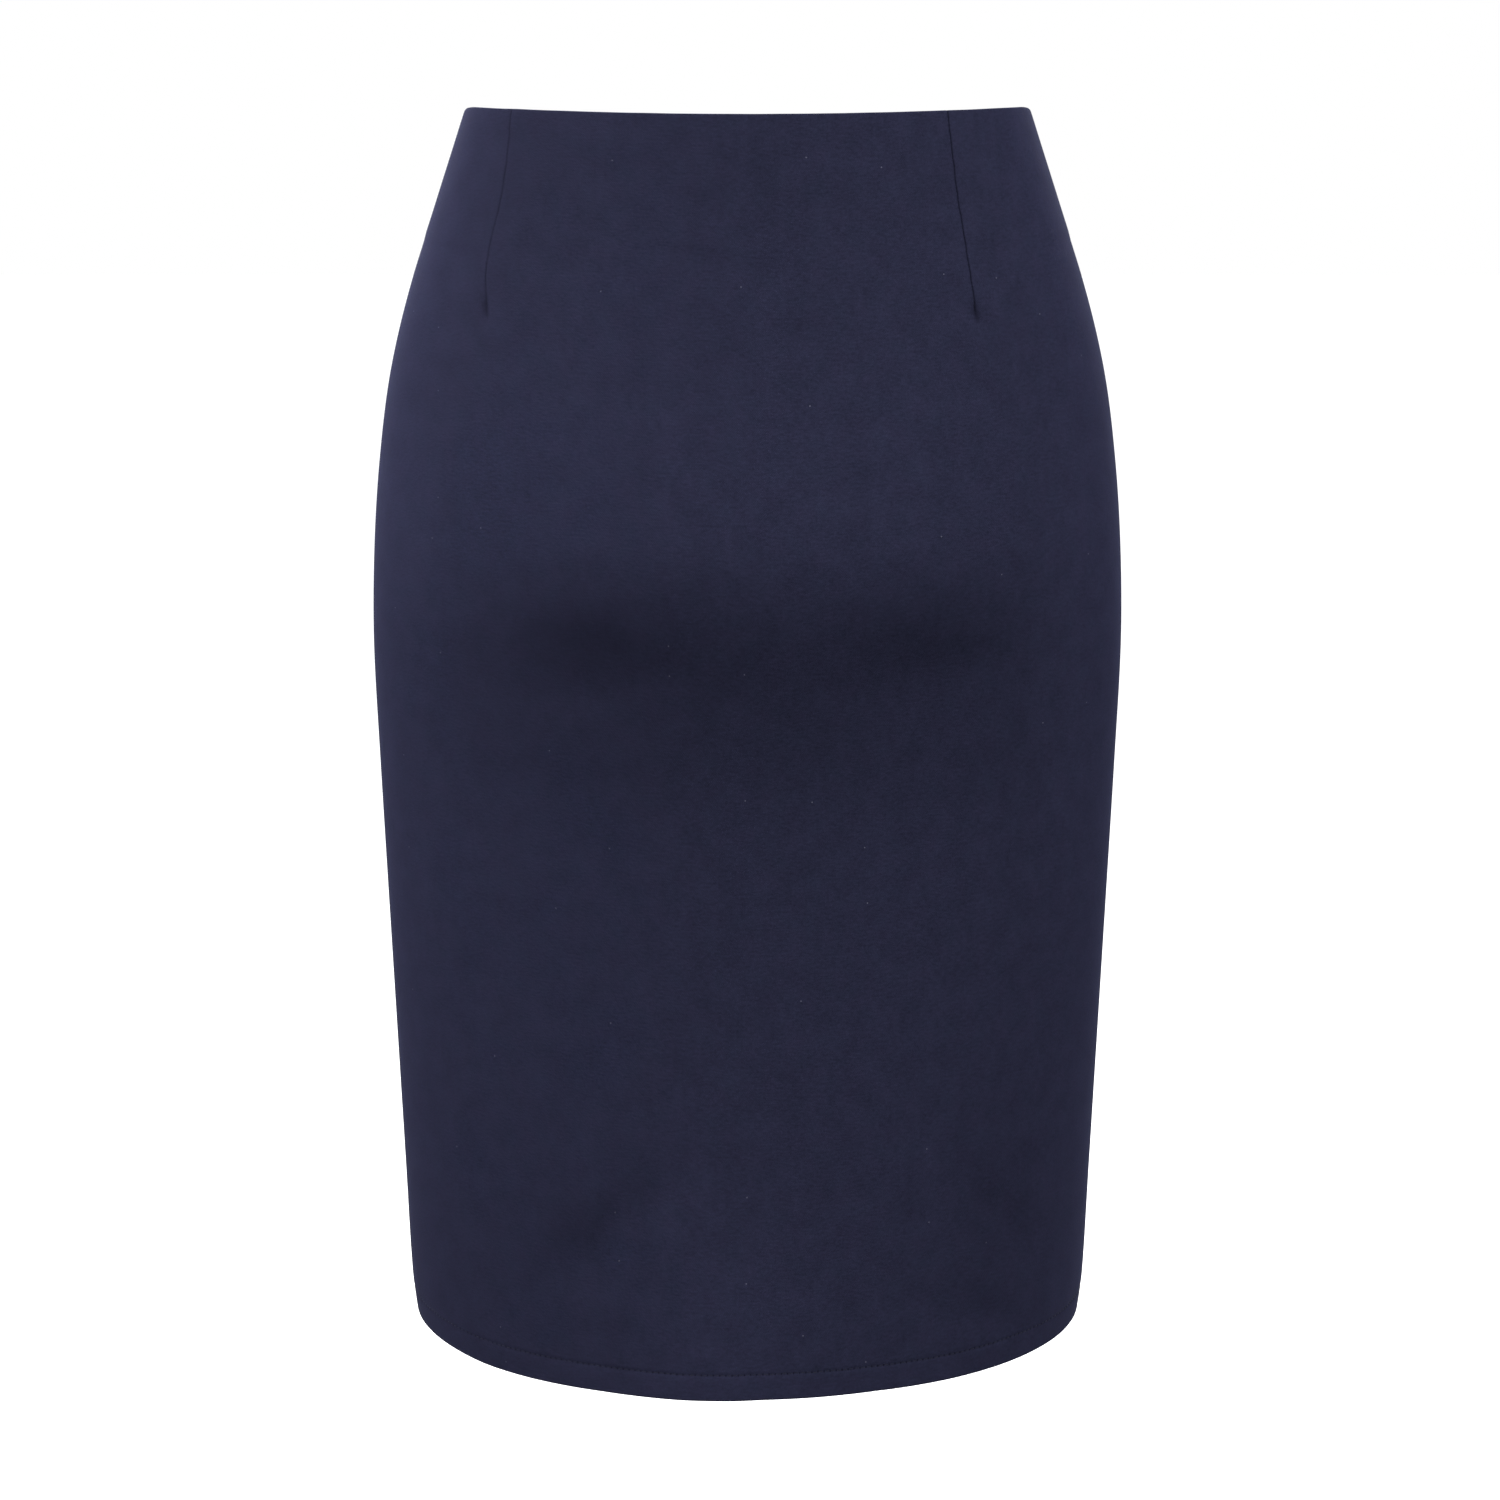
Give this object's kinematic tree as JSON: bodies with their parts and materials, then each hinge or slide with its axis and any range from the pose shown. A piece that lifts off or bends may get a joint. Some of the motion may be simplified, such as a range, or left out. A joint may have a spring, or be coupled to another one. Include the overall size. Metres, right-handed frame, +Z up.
{
  "type": "pencil skirt",
  "caption": "Knee-length knit pencil skirt, hollow as worn: plain faced waist with darts, full hips, narrow stitched hem, and a hidden back zip whose pull tab swings.",
  "frame": {"origin": "middle of the waist opening, level with the waist edge at the side seams", "axes": "+Z up towards the waist, the front faces -Y, the wearer's left is +X"},
  "size_m": [0.3507, 0.2511, 0.5771],
  "materials": {
    "knit": "navy double knit, matt with a faint sheen",
    "facing": "the same navy double knit, inside",
    "zip_tape": "navy woven polyester tape",
    "zip_metal": "navy enamel, satin"
  },
  "bodies": {
    "skirt": {"front_panel": "knit", "back_panel_left": "knit", "back_panel_right": "knit", "front_facing": "facing", "back_facing_left": "facing", "back_facing_right": "facing", "zip_tape_left": "zip_tape", "zip_tape_right": "zip_tape", "zip_slider": "zip_metal"},
    "pull": {"zip_pull": "zip_metal"}
  },
  "joints": [
    {"name": "pull_hinge", "type": "hinge", "parent": "skirt", "child": "pull", "pos_m": [0, 0.09798, -0.01277], "axis": [1, 0, 0], "range_deg": [0, 150]}
  ]
}
